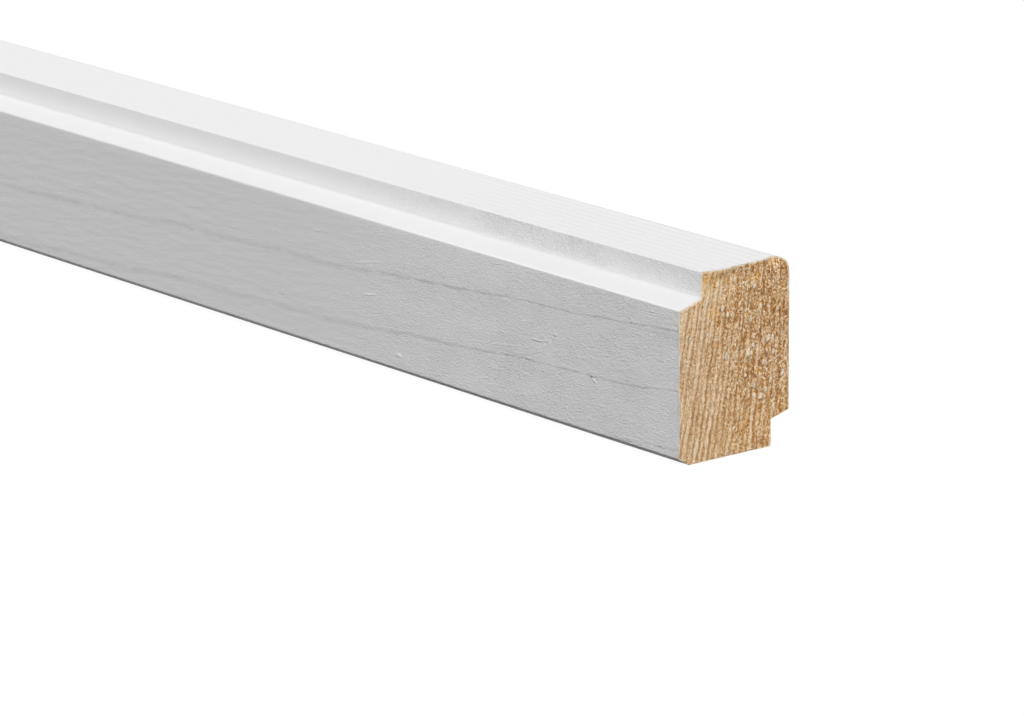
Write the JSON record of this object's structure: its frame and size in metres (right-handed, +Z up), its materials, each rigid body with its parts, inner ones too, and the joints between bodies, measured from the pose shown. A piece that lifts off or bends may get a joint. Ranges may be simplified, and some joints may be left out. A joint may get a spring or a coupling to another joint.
{
  "type": "cover strip",
  "caption": "Long straight softwood cover strip: a sloping rebate along the top front, an undercut rebate along the back foot, a rounded back edge and square-sawn ends.",
  "frame": {"origin": "on the floor plane under the middle of the strip: centre of the bounding box's bottom", "axes": "+X along the strip, +Y from the front face with the upper rebate towards the back face with the foot rebate, +Z up from the flat base it stands on"},
  "size_m": [2.4, 0.034, 0.045],
  "materials": {
    "primed_softwood": "matt white primer on planed faces, bare pine end grain on the two sawn ends"
  },
  "bodies": {
    "root": {"cover_strip": "primed_softwood"}
  },
  "joints": []
}
